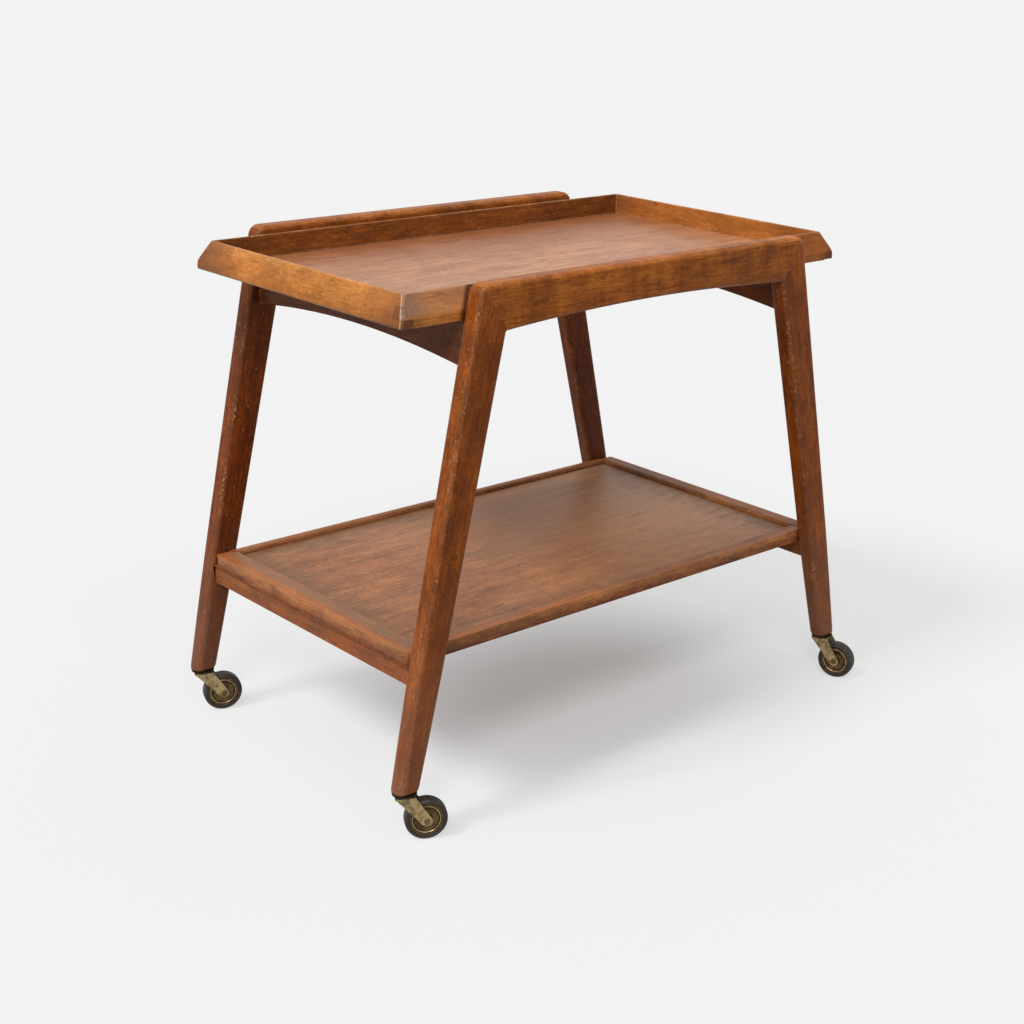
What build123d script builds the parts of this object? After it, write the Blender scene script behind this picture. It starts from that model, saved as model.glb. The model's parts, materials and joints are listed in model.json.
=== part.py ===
"""Bar cart on wheels: a two-tier wooden serving trolley with a lift-off tray.

Frame: millimetres, +X along the length, +Y to the back, +Z up.
Origin: on the floor, under the middle of the cart.
Each function makes one piece or one small group and names it as it is stored.
"""
from build123d import *
from math import atan2, degrees
import os

# --- side frames: two legs and a top rail each ---
frame_height = 630.0          # floor to the top of the side rails
frame_half_depth = 233.5      # middle of the cart to a side frame's outer face
frame_thickness = 25.0
top_half_length = 258.0       # middle to the frame's sharp top corner
foot_half_length = 377.6      # middle to the leg's outer edge at the foot
leg_width_top = 47.5          # level width of a leg, carried up to the frame's top
leg_width_foot = 32.0
rail_depth_middle = 46.0      # the rail's lower edge is an arch
rail_depth_end = 55.0
top_corner_radius = 14.0
inner_corner_radius = 3.0
foot_corner_radius = 8.0
frame_edge_radius = 6.0
dowel_diameter = 8.0
dowel_length = 26.0
dowel_inset = 18.0            # inner corner of the joint to its first dowel, along the mitre
dowel_spacing = 22.0          # first dowel to second, along the mitre
glue_gap = 0.05               # round each dowel, tenon and screw

# --- casters ---
wheel_diameter = 50.0
wheel_headroom = 9.0          # top of a wheel to the foot of its leg
tyre_width = 17.0
tyre_wall = 5.0
tyre_shoulder_radius = 4.0
hub_rim_width = 14.0
hub_rim_wall = 2.5
hub_web_thickness = 4.0
hub_boss_diameter = 13.0
caster_trail = 24.0           # swivel axis to wheel axis
caster_angles = {"front_left": -28.0, "back_left": -20.0, "front_right": -70.0, "back_right": 70.0}
fork_sheet = 2.0
fork_side_clearance = 1.0     # tyre to fork cheek
fork_crown_length = 23.0
fork_crown_corner = 3.0
fork_end_radius = 6.5
axle_diameter = 5.0
axle_head_diameter = 7.0
axle_head_height = 1.2
boss_end_clearance = 0.4      # hub boss to fork cheek
running_clearance = 0.05      # radial, wheel on axle and fork on stem
stem_diameter = 8.0
stem_plate_diameter = 29.0
stem_plate_thickness = 1.6
stem_rivet_diameter = 12.0
stem_rivet_height = 1.5
washer_diameter = 19.0
washer_thickness = 1.4
swivel_gap = 0.1              # under the washer and over the rivet head
socket_wall = 1.0
socket_length = 34.0

# --- cross rails under the tray ---
top_rail_setback = 4.8        # leg's outer edge, at the rail's top, to the rail's outer face
cross_rail_thickness = 20.0
top_rail_depth_middle = 40.0
top_rail_depth_end = 54.0
cross_rail_edge_radius = 3.0
tenon_shoulder = 4.0          # rail's face to its tenon, each side
mortise_floor = 10.0          # wood left behind a tenon
top_tenon_drop = 21.0         # top of the rail to the top of its tenon
top_tenon_low_shoulder = 7.0  # tenon's underside to the rail's lower edge

# --- panels of the tray and the shelf ---
panel_thickness = 6.0
panel_tongue_drop = 0.8       # panel's top to the top of the tongue round its edge
panel_seam = 0.3              # panel's top to the wall beside it
panel_groove_depth = 6.0

# --- lift-off tray ---
tray_overhang = 90.0          # side frame's top corner to the tray's end
tray_side_gap = 1.0           # tray wall to side frame, each side
tray_height = 35.0
tray_strip_height = 10.5      # upright band at the foot of each wall
tray_wall_lean = 13.5         # how far a wall's outer face leans in above the band
tray_wall_top = 3.5           # wall thickness at its top edge
tray_lift_under_rail = 42.0   # top of the side rails to the tray's underside
tray_panel_rise = 2.0         # tray's underside to the panel's underside
tray_edge_radius = 1.2
tray_finger_height = 12.5     # the side wall's finger in each corner
cleat_width = 11.0
cleat_height = 10.0
cleat_length = 300.0
cleat_gap = 1.0               # cleat to cross rail

# --- lower shelf ---
shelf_end_setback = 0.0       # leg's outer edge, at the shelf's top, to the shelf's end
shelf_side_gap = 3.5          # shelf to leg, each side
shelf_top = 219.5
shelf_lip_height = 16.5
shelf_end_lip_width = 22.0
shelf_side_lip_width = 12.0
shelf_corner_radius = 8.0
shelf_edge_radius = 2.5
shelf_panel_drop = 5.5        # lip's top to the panel's top
shelf_rail_inset = 1.3        # shelf's end to the rail's outer face
shelf_rail_depth = 23.0
shelf_tenon_drop = 4.0        # top of the rail to the top of its tenon
shelf_tenon_low_shoulder = 4.0
screw_shank_diameter = 4.0
screw_head_diameter = 8.0
screw_head_height = 3.0
screw_recess = 5.0            # rail's underside to the screw head
screw_bite = 10.0             # screw's reach into the shelf
screw_half_spacing = 150.0

# --- what follows from those sizes ---
caster_height = wheel_diameter + wheel_headroom
hub_diameter = wheel_diameter - 2 * tyre_wall
leg_run = (foot_half_length - top_half_length) / (frame_height - caster_height)
leg_taper = (leg_width_top - leg_width_foot) / (frame_height - caster_height)
frame_inner_face = frame_half_depth - frame_thickness
frame_mid_depth = frame_half_depth - frame_thickness / 2
wheel_radius = wheel_diameter / 2
swivel_half_length = foot_half_length - leg_width_foot / 2
tenon_length = frame_thickness - mortise_floor
tenon_thickness = cross_rail_thickness - 2 * tenon_shoulder
tray_bottom = frame_height - tray_lift_under_rail
top_rail_offset = top_half_length + leg_run * tray_lift_under_rail - top_rail_setback
top_tenon_height = top_rail_depth_end - top_tenon_drop - top_tenon_low_shoulder
tray_half_length = top_half_length + tray_overhang
tray_half_depth = frame_inner_face - tray_side_gap
tray_inner_length = tray_half_length - tray_wall_lean - tray_wall_top
tray_inner_depth = tray_half_depth - tray_wall_lean - tray_wall_top
tray_panel_bottom = tray_bottom + tray_panel_rise
shelf_half_length = top_half_length + leg_run * (frame_height - shelf_top) - shelf_end_setback
shelf_half_depth = frame_inner_face - shelf_side_gap
shelf_tenon_height = shelf_rail_depth - shelf_tenon_drop - shelf_tenon_low_shoulder
shelf_bottom = shelf_top - shelf_lip_height
shelf_inner_length = shelf_half_length - shelf_end_lip_width
shelf_inner_depth = shelf_half_depth - shelf_side_lip_width
shelf_panel_bottom = shelf_top - shelf_panel_drop - panel_thickness
shelf_rail_offset = shelf_half_length - shelf_rail_inset
shelf_rail_mid = shelf_rail_offset - cross_rail_thickness / 2
screw_head_bottom = shelf_bottom - shelf_rail_depth + screw_recess
stem_plate_bottom = caster_height - stem_plate_thickness
washer_bottom = stem_plate_bottom - washer_thickness
crown_top = washer_bottom - swivel_gap
crown_bottom = crown_top - fork_sheet
rivet_top = crown_bottom - swivel_gap
cheek_inner = tyre_width / 2 + fork_side_clearance
cheek_outer = cheek_inner + fork_sheet
FAR = 2000.0                  # longer than the cart, for cutting solids

CORNERS = {"front_left": (-1, -1), "front_right": (1, -1), "back_left": (-1, 1), "back_right": (1, 1)}


def save(shape, node):
    """Write one node."""
    export_step(shape, "parts/" + node + ".step")


def span(x0, x1, y0, y1, z0, z1):
    """A box between two corners."""
    size = (abs(x1 - x0), abs(y1 - y0), abs(z1 - z0))
    return Pos((x0 + x1) / 2, (y0 + y1) / 2, (z0 + z1) / 2) * Box(*size)


def rod(diameter, z0, z1):
    """An upright cylinder on the Z axis."""
    return Pos(0, 0, (z0 + z1) / 2) * Cylinder(diameter / 2, z1 - z0)


def upright_face(points):
    """A face in the XZ plane, from its (x, z) corners in order."""
    return make_face(Polyline([(x, 0, z) for x, z in points], close=True))


def group(solids):
    """Separate solids that share a node."""
    return Compound(children=list(solids))


# --- side frames ---

def leg_outer(z):
    """X of a right leg's outer edge at height z."""
    return top_half_length + leg_run * (frame_height - z)


def leg_inner(z):
    """X of a right leg's inner edge at height z."""
    return leg_outer(z) - leg_width_top + leg_taper * (frame_height - z)


rail_end_z = frame_height - rail_depth_end
inner_corner = (leg_inner(rail_end_z), rail_end_z)
outer_corner = (top_half_length, frame_height)


def depth_edges(solid, points):
    """The edges along Y that stand at (+x, z) or (-x, z) of any of the points."""
    edges = solid.edges().filter_by(Axis.Y)
    return [e for e in edges for x, z in points
            if abs(abs(e.center().X) - x) < 0.01 and abs(e.center().Z - z) < 0.01]


def side_frame_blank():
    """Legs and rail of the front side frame in one piece, with its edges rounded."""
    foot_outer = (foot_half_length, caster_height)
    foot_inner = (foot_half_length - leg_width_foot, caster_height)
    half = [(0, frame_height), outer_corner, foot_outer, foot_inner, inner_corner]
    right = Polyline([(x, 0, z) for x, z in half])
    left = Polyline([(-x, 0, z) for x, z in half])
    arch = ThreePointArc(right @ 1, (0, 0, frame_height - rail_depth_middle), left @ 1)
    blank = extrude(make_face([right, left, arch]), amount=frame_thickness, dir=(0, 1, 0))
    blank = Pos(0, -frame_half_depth, 0) * blank
    blank = fillet(depth_edges(blank, [outer_corner]), top_corner_radius)
    blank = fillet(depth_edges(blank, [inner_corner]), inner_corner_radius)
    blank = fillet(depth_edges(blank, [foot_outer, foot_inner]), foot_corner_radius)
    faces = blank.faces().filter_by(Axis.Y)
    return fillet([e for f in faces for e in f.edges()], frame_edge_radius)


def mitred_leg_space():
    """All the space beyond the right-hand mitre, which runs from corner to corner of the joint."""
    run = (outer_corner[0] - inner_corner[0], outer_corner[1] - inner_corner[1])
    above = (outer_corner[0] + run[0], outer_corner[1] + run[1])
    below = (inner_corner[0] - run[0], inner_corner[1] - run[1])
    face = upright_face([(below[0], 0), below, above, (FAR, above[1]), (FAR, 0)])
    return extrude(face, amount=FAR, dir=(0, 1, 0), both=True)


def corner_dowels(clearance):
    """The two dowels across the front right mitre, grown by a clearance."""
    run = (outer_corner[0] - inner_corner[0], outer_corner[1] - inner_corner[1])
    reach = (run[0] ** 2 + run[1] ** 2) ** 0.5
    pins = []
    for step in (dowel_inset, dowel_inset + dowel_spacing):
        x = inner_corner[0] + run[0] / reach * step
        z = inner_corner[1] + run[1] / reach * step
        across = Plane(origin=(x, -frame_mid_depth, z), z_dir=(run[1], 0, -run[0]))
        pins.append(across * Cylinder(dowel_diameter / 2 + clearance, dowel_length + 2 * clearance))
    return pins


def top_tenon(clearance):
    """Right top cross rail's front tenon, grown by a clearance."""
    mid = top_rail_offset - cross_rail_thickness / 2
    half = tenon_thickness / 2 + clearance
    top = tray_bottom - top_tenon_drop + clearance
    bottom = top - top_tenon_height - 2 * clearance
    return span(mid - half, mid + half, -frame_inner_face - tenon_length - clearance,
                -frame_inner_face + clearance, bottom, top)


def shelf_tenon(clearance):
    """Right shelf rail's front tenon, grown by a clearance."""
    half = tenon_thickness / 2 + clearance
    top = shelf_bottom - shelf_tenon_drop + clearance
    bottom = top - shelf_tenon_height - 2 * clearance
    return span(shelf_rail_mid - half, shelf_rail_mid + half,
                -frame_inner_face - tenon_length - clearance, -frame_inner_face + clearance,
                bottom, top)


def place_corner(shape, name):
    """A front right piece mirrored to the named corner."""
    side, depth = CORNERS[name]
    if side < 0:
        shape = mirror(shape, about=Plane.YZ)
    if depth > 0:
        shape = mirror(shape, about=Plane.XZ)
    return shape


def build_side_frames():
    blank = side_frame_blank()
    beyond = mitred_leg_space()
    holes = corner_dowels(glue_gap)
    rail = blank - beyond - mirror(beyond, about=Plane.YZ)
    for hole in holes:
        rail = rail - hole - mirror(hole, about=Plane.YZ)
    leg = blank & beyond
    for hole in holes:
        leg -= hole
    leg -= top_tenon(glue_gap)
    leg -= shelf_tenon(glue_gap)
    leg -= Pos(swivel_half_length, -frame_mid_depth, 0) * socket_hole()
    for name in CORNERS:
        save(place_corner(leg, name), name + "_leg")
    save(rail, "front_side_rail")
    save(mirror(rail, about=Plane.XZ), "back_side_rail")
    pins = [place_corner(pin, name) for name in CORNERS for pin in corner_dowels(0)]
    save(group(pins), "corner_dowels")


# --- panels ---

def panel_tongue(half_length, half_depth, bottom):
    """The thinner part of a panel, which reaches into the grooves of the walls round that space."""
    long_half = half_length + panel_groove_depth
    deep_half = half_depth + panel_groove_depth
    return span(-long_half, long_half, -deep_half, deep_half, bottom,
                bottom + panel_thickness - panel_tongue_drop)


def tongued_panel(half_length, half_depth, bottom):
    """A panel with its full thickness between the walls and a tongue in their grooves."""
    long_half = half_length - panel_seam
    deep_half = half_depth - panel_seam
    field = span(-long_half, long_half, -deep_half, deep_half, bottom, bottom + panel_thickness)
    return field + panel_tongue(half_length, half_depth, bottom)


# --- cross rails ---

def rounded_low_edges(rail, bottom):
    """Round the long lower edges of a cross rail, whose lowest corners are at height bottom."""
    ends = rail.faces().filter_by(Axis.X)
    low = [e for f in ends for e in f.edges() if e.center().Z < bottom + cross_rail_edge_radius * 5
           and abs(e.center().Y) < 1]
    return fillet(low, cross_rail_edge_radius)


def build_top_cross_rails():
    end_z = tray_bottom - top_rail_depth_end
    mid_z = tray_bottom - top_rail_depth_middle
    edge = frame_inner_face
    top = Polyline([(0, -edge, end_z), (0, -edge, tray_bottom), (0, edge, tray_bottom), (0, edge, end_z)])
    arch = ThreePointArc((0, edge, end_z), (0, 0, mid_z), (0, -edge, end_z))
    rail = extrude(make_face([top, arch]), amount=cross_rail_thickness, dir=(1, 0, 0))
    rail = Pos(top_rail_offset - cross_rail_thickness, 0, 0) * rail
    rail = rounded_low_edges(rail, end_z)
    rail += top_tenon(0)
    rail += mirror(top_tenon(0), about=Plane.XZ)
    save(rail, "right_top_cross_rail")
    save(mirror(rail, about=Plane.YZ), "left_top_cross_rail")


def shelf_screw(clearance, bottom):
    """One screw on the Z axis: its head, and its shank up into the shelf."""
    head_top = screw_head_bottom + screw_head_height
    head = rod(screw_head_diameter + 2 * clearance, bottom, head_top)
    shank = rod(screw_shank_diameter + 2 * clearance, head_top, shelf_bottom + screw_bite)
    return head + shank


def screw_places():
    """X and Y of the four shelf screws."""
    return [(side * shelf_rail_mid, y) for side in (-1, 1) for y in (-screw_half_spacing, screw_half_spacing)]


def build_shelf_rails():
    bottom = shelf_bottom - shelf_rail_depth
    rail = span(shelf_rail_offset - cross_rail_thickness, shelf_rail_offset,
                -frame_inner_face, frame_inner_face, bottom, shelf_bottom)
    low = [e for e in rail.edges().filter_by(Axis.Y) if e.center().Z < bottom + 1]
    rail = fillet(low, cross_rail_edge_radius)
    rail += shelf_tenon(0)
    rail += mirror(shelf_tenon(0), about=Plane.XZ)
    for x, y in screw_places():
        if x > 0:
            rail -= Pos(x, y, 0) * shelf_screw(glue_gap, bottom - 1)
    save(rail, "right_shelf_rail")
    save(mirror(rail, about=Plane.YZ), "left_shelf_rail")
    screws = [Pos(x, y, 0) * shelf_screw(0, screw_head_bottom) for x, y in screw_places()]
    save(group(screws), "shelf_screws")


# --- lower shelf: a panel let into a frame of four lips ---

def build_shelf():
    low, high = shelf_bottom, shelf_top
    plan = RectangleRounded(2 * shelf_half_length, 2 * shelf_half_depth, shelf_corner_radius)
    ring = Pos(0, 0, low) * extrude(plan, amount=shelf_lip_height)
    ring = fillet(ring.faces().filter_by(Axis.Z).edges(), shelf_edge_radius)
    ring -= span(-shelf_inner_length, shelf_inner_length, -shelf_inner_depth, shelf_inner_depth,
                 low - 1, high + 1)
    space = (shelf_inner_length, shelf_inner_depth, shelf_panel_bottom)
    ring -= panel_tongue(*space)
    for x, y in screw_places():
        ring -= Pos(x, y, 0) * shelf_screw(glue_gap, screw_head_bottom)
    end = span(shelf_inner_length, FAR, -FAR, FAR, 0, frame_height)
    side = span(-shelf_inner_length, shelf_inner_length, -FAR, -shelf_inner_depth, 0, frame_height)
    save(tongued_panel(*space), "shelf_panel")
    save(ring & end, "shelf_right_lip")
    save(ring & mirror(end, about=Plane.YZ), "shelf_left_lip")
    save(ring & side, "shelf_front_lip")
    save(ring & mirror(side, about=Plane.XZ), "shelf_back_lip")


# --- lift-off tray: a panel in four leaning walls, finger-jointed at the corners ---

def tray_ring():
    """All four walls in one piece: an upright band, then faces that lean in to the top."""
    lean = degrees(atan2(tray_wall_lean, tray_height - tray_strip_height))
    plan = Rectangle(2 * tray_half_length, 2 * tray_half_depth)
    band = Pos(0, 0, tray_bottom) * extrude(plan, amount=tray_strip_height)
    upper = extrude(plan, amount=tray_height - tray_strip_height, taper=lean)
    ring = band + Pos(0, 0, tray_bottom + tray_strip_height) * upper
    ring = fillet(ring.edges().filter_by(Axis.Z), tray_edge_radius)
    ring = fillet(ring.faces().sort_by(Axis.Z)[0].edges(), tray_edge_radius)
    hollow = span(-tray_inner_length, tray_inner_length, -tray_inner_depth, tray_inner_depth,
                  tray_bottom - 1, tray_bottom + tray_height + 1)
    return ring - hollow


def build_tray():
    ring = tray_ring()
    space = (tray_inner_length, tray_inner_depth, tray_panel_bottom)
    ring -= panel_tongue(*space)
    finger_low = tray_bottom + tray_strip_height
    finger_high = finger_low + tray_finger_height
    end_space = span(tray_inner_length, FAR, -FAR, FAR, 0, FAR)
    fingers = [span(tray_inner_length, FAR, y0, y1, finger_low, finger_high)
               for y0, y1 in ((-FAR, -tray_inner_depth), (tray_inner_depth, FAR))]
    end = ring & end_space
    for finger in fingers:
        end -= finger
    side = ring & span(-tray_inner_length, tray_inner_length, -FAR, -tray_inner_depth, 0, FAR)
    corner_finger = ring & fingers[0]
    side += corner_finger
    side += mirror(corner_finger, about=Plane.YZ)
    save(tongued_panel(*space), "tray_panel")
    save(end, "tray_right_end")
    save(mirror(end, about=Plane.YZ), "tray_left_end")
    save(side, "tray_front_wall")
    save(mirror(side, about=Plane.XZ), "tray_back_wall")
    cleat_outer = top_rail_offset - cross_rail_thickness - cleat_gap
    cleat = span(cleat_outer - cleat_width, cleat_outer, -cleat_length / 2, cleat_length / 2,
                 tray_panel_bottom - cleat_height, tray_panel_bottom)
    save(cleat, "tray_right_cleat")
    save(mirror(cleat, about=Plane.YZ), "tray_left_cleat")


# --- casters: each is made on the Z axis, trailing along +X, then placed under its leg ---

def socket_hole():
    """The hole in a foot that takes the socket."""
    return rod(stem_diameter + 2 * (running_clearance + socket_wall + glue_gap),
               caster_height - 1, caster_height + socket_length + glue_gap)


def caster_socket():
    """Tube driven into the foot."""
    outer = rod(stem_diameter + 2 * (running_clearance + socket_wall),
                caster_height, caster_height + socket_length)
    return outer - rod(stem_diameter + 2 * running_clearance, caster_height - 1,
                       caster_height + socket_length + 1)


def caster_stem():
    """Stem with its round plate under the foot and its riveted end under the fork."""
    plate = rod(stem_plate_diameter, stem_plate_bottom, caster_height)
    plate = fillet(plate.faces().sort_by(Axis.Z)[0].edges(), stem_plate_thickness / 2)
    rivet = rod(stem_rivet_diameter, rivet_top - stem_rivet_height, rivet_top)
    rivet = fillet(rivet.faces().sort_by(Axis.Z)[0].edges(), stem_rivet_height / 2)
    return rod(stem_diameter, rivet_top, caster_height + socket_length) + plate + rivet


def swivel_washer():
    """Thrust washer between the stem's plate and the fork."""
    ring = rod(washer_diameter, washer_bottom, stem_plate_bottom)
    return ring - rod(stem_diameter + 2 * running_clearance, washer_bottom - 1, stem_plate_bottom + 1)


def wheel_axis(shape):
    """Stand a shape made on the Z axis on the wheel's axis."""
    return Pos(caster_trail, 0, wheel_radius) * Rot(90, 0, 0) * shape


def caster_fork():
    """Fork bent from one sheet: a flat crown and two cheeks that narrow to the axle."""
    crown_plan = RectangleRounded(fork_crown_length, 2 * cheek_outer, fork_crown_corner)
    crown = Pos(0, 0, crown_bottom) * extrude(crown_plan, amount=fork_sheet)
    half = fork_crown_length / 2
    top = Line((-half, crown_top), (half, crown_top))
    end = Edge.make_circle(fork_end_radius, Plane((caster_trail, wheel_radius, 0)))
    cheek = extrude(Plane.XZ * make_hull([top, end]), amount=fork_sheet)
    fork = crown
    for near_face in (cheek_outer, -cheek_inner):
        fork += Pos(0, near_face, 0) * cheek
    bends = [e for e in fork.edges().filter_by(Axis.X)
             if abs(abs(e.center().Y) - cheek_outer) < 0.01 and abs(e.center().Z - crown_top) < 0.01]
    fork = fillet(bends, fork_sheet * 0.8)
    fork -= rod(stem_diameter + 2 * running_clearance, crown_bottom - 1, crown_top + 1)
    return fork - wheel_axis(Cylinder(axle_diameter / 2 + glue_gap, 3 * cheek_outer))


def caster_axle():
    """Riveted axle through both cheeks."""
    pin = Cylinder(axle_diameter / 2, 2 * cheek_outer)
    head = Cylinder(axle_head_diameter / 2, axle_head_height)
    head = fillet(head.faces().sort_by(Axis.Z)[-1].edges(), axle_head_height / 2)
    top = Pos(0, 0, cheek_outer + axle_head_height / 2) * head
    return wheel_axis(pin + top + mirror(top, about=Plane.XY))


def wheel_hub():
    """Pressed metal hub: boss on the axle, thin web, and a rim that holds the tyre."""
    boss = Cylinder(hub_boss_diameter / 2, 2 * (cheek_inner - boss_end_clearance))
    web = Cylinder(hub_diameter / 2 - hub_rim_wall / 2, hub_web_thickness)
    rim = Cylinder(hub_diameter / 2, hub_rim_width)
    rim -= Cylinder(hub_diameter / 2 - hub_rim_wall, hub_rim_width + 1)
    bore = Cylinder(axle_diameter / 2 + running_clearance, 3 * cheek_outer)
    return wheel_axis(boss + web + rim - bore)


def wheel_tyre():
    """Rubber tyre with rounded shoulders."""
    band = Cylinder(wheel_radius, tyre_width)
    band = fillet(band.edges().filter_by(GeomType.CIRCLE), tyre_shoulder_radius)
    return wheel_axis(band - Cylinder(hub_diameter / 2, tyre_width + 1))


def build_casters():
    fixed = {"caster_socket": caster_socket(), "caster_stem": caster_stem(),
             "swivel_washer": swivel_washer()}
    turning = {"caster_fork": caster_fork(), "caster_axle": caster_axle(),
               "wheel_hub": wheel_hub(), "wheel_tyre": wheel_tyre()}
    for name, (side, depth) in CORNERS.items():
        foot = Pos(side * swivel_half_length, depth * frame_mid_depth, 0)
        for piece, shape in fixed.items():
            save(foot * shape, name + "_" + piece)
        for piece, shape in turning.items():
            save(foot * Rot(0, 0, caster_angles[name]) * shape, name + "_" + piece)


os.makedirs("parts", exist_ok=True)
build_side_frames()
build_top_cross_rails()
build_shelf_rails()
build_shelf()
build_tray()
build_casters()
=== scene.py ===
"""Bar cart on wheels: an oiled teak serving trolley of two tiers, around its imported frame.

Metres throughout: +X along the cart, +Y to the back, +Z up, the floor at Z = 0.
The file follows the cart as it goes together: studio, side frames, cross rails, shelf,
tray and casters.
"""

import json
from math import cos, pi, radians, sin

import bpy
import numpy as np
from mathutils import Matrix, Vector


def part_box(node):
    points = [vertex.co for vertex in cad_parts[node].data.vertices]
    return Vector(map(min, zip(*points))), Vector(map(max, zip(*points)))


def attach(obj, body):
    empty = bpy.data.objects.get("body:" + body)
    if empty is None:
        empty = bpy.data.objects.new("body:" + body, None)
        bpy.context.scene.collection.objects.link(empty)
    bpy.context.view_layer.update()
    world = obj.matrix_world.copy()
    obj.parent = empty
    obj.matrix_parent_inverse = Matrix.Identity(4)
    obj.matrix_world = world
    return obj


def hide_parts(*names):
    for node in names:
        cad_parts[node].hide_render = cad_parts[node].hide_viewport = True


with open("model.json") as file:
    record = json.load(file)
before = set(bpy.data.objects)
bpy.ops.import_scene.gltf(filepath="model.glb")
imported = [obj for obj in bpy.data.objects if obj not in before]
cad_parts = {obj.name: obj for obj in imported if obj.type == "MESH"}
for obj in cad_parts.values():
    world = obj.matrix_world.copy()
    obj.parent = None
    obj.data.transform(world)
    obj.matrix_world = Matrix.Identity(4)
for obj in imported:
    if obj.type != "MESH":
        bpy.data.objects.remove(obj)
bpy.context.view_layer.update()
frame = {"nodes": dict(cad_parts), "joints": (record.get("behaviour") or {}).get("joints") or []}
scene = bpy.context.scene


# ------------------------
# Studio. A pale floor runs on into a backdrop of the same shade. Three broad lamps stand high: one
# beyond the cart's left end, one off its near left corner and a weak one in front. An even sky
# lifts what they miss.

class Signal:
    """A socket on its way through a node tree; arithmetic on it adds Math nodes."""

    def __init__(self, nodes, socket):
        self.nodes = nodes
        self.socket = socket

    def maths(self, operation, *values):
        return self.nodes.add("Math", {"operation": operation}, dict(enumerate(values)))

    def __add__(self, other):
        return self.maths("ADD", self, other)

    def __sub__(self, other):
        return self.maths("SUBTRACT", self, other)

    def __rsub__(self, other):
        return self.maths("SUBTRACT", other, self)

    def __mul__(self, other):
        return self.maths("MULTIPLY", self, other)

    def __abs__(self):
        return self.maths("ABSOLUTE", self)

    def larger(self, other):
        return self.maths("MAXIMUM", self, other)

    def smaller(self, other):
        return self.maths("MINIMUM", self, other)

    __radd__ = __add__
    __rmul__ = __mul__

    def between(self, low, high):
        """0 at low and beyond, 1 at high and beyond, and a smooth step from one to the other."""
        return self.nodes.add("MapRange", {"interpolation_type": "SMOOTHSTEP"},
                              {"Value": self, "From Min": low, "From Max": high})


class Nodes:
    """A node tree that is written from the textures to the output."""

    def __init__(self, tree):
        self.tree = tree
        tree.nodes.clear()

    def add(self, kind, settings, sockets, out=0):
        """Add a node: its settings, then the values or links of its sockets. Gives an output."""
        made = self.tree.nodes.new("ShaderNode" + kind)
        for key, value in settings.items():
            if key == "stops":
                while len(made.color_ramp.elements) < len(value):
                    made.color_ramp.elements.new(1.0)
                for stop, (place, shade) in zip(made.color_ramp.elements, value):
                    stop.position = place
                    stop.color = shade
            else:
                setattr(made, key, value)
        for key, value in sockets.items():
            if isinstance(value, Signal):
                self.tree.links.new(value.socket, made.inputs[key])
            else:
                made.inputs[key].default_value = value
        return Signal(self, made.outputs[out]) if made.outputs else None


def paint(red, green, blue):
    """A colour named by its display values, 0 to 255, as linear light."""
    display = np.array((red, green, blue)) / 255
    light = np.where(display < 0.04045, display / 12.92, ((display + 0.055) / 1.055) ** 2.4)
    return (*map(float, light), 1.0)


def in_sight(nodes):
    """1 where something is seen straight, in a mirror or through glass, 0 where it only lights."""
    sight = [nodes.add("LightPath", {}, {}, out)
             for out in ("Is Camera Ray", "Is Glossy Ray", "Is Transmission Ray")]
    return sight[0].larger(sight[1]).larger(sight[2])


def object_place(nodes):
    """Where a point lies in the cart, in metres."""
    return nodes.add("TexCoord", {}, {}, "Object")


def new_material(name):
    made = bpy.data.materials.new(name)
    made.use_nodes = True
    return made, Nodes(made.node_tree)


backdrop_shade = paint(243, 243, 243)
floor_half_size = 60.0
bounce_shade = paint(150, 150, 150)
sky_strength = 0.30
lamp_size = 17.0               # degrees of sky that each lamp fills
lamps = {"left_lamp": (1.74, -95.0, 50.0),      # strength, azimuth and height of each
         "near_lamp": (0.98, -46.0, 44.0),
         "front_lamp": (0.16, -6.0, 52.0)}
shadow_lift, outer_shadow_lift = 0.30, 0.68     # how far the floor's shadows are lightened
shadow_middle = (0.05, -0.08, 0.0)              # where they are lightened least
shadow_reach = (0.1, 0.45)                      # from how far off to how far off more

scene.view_settings.view_transform = "Standard"

floor_mesh = bpy.data.meshes.new("floor")
corner_signs = np.array([(-1, -1, 0), (1, -1, 0), (1, 1, 0), (-1, 1, 0)])
floor_mesh.from_pydata((corner_signs * floor_half_size).tolist(), [], [(0, 1, 2, 3)])
floor = bpy.data.objects.new("floor", floor_mesh)
scene.collection.objects.link(floor)
floor_finish, nodes = new_material("floor")
lit = nodes.add("BsdfDiffuse", {}, {"Color": backdrop_shade})
lifted = nodes.add("Emission", {}, {"Color": backdrop_shade, "Strength": 1.0})
apart = nodes.add("VectorMath", {"operation": "DISTANCE"},
                  {0: object_place(nodes), 1: shadow_middle}, "Value")
lift = apart.between(*shadow_reach) * (outer_shadow_lift - shadow_lift) + shadow_lift
shown = nodes.add("MixShader", {}, {0: lift, 1: lit, 2: lifted})
bounced = nodes.add("BsdfDiffuse", {}, {"Color": bounce_shade})
surface = nodes.add("MixShader", {}, {0: in_sight(nodes), 1: bounced, 2: shown})
nodes.add("OutputMaterial", {}, {"Surface": surface})
floor_mesh.materials.append(floor_finish)

world = bpy.data.worlds.new("studio")
scene.world = world
world.use_nodes = True
nodes = Nodes(world.node_tree)
sky = nodes.add("Background", {}, {"Color": (1, 1, 1, 1), "Strength": sky_strength})
backdrop = nodes.add("Background", {}, {"Color": backdrop_shade, "Strength": 1.0})
both = nodes.add("MixShader", {}, {0: in_sight(nodes), 1: sky, 2: backdrop})
nodes.add("OutputWorld", {}, {"Surface": both})


def away(azimuth, height):
    """The direction at that azimuth, 0 in front of the cart, and that height, in degrees."""
    a, h = radians(azimuth), radians(height)
    return Vector((sin(a) * cos(h), -cos(a) * cos(h), sin(h)))


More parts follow.
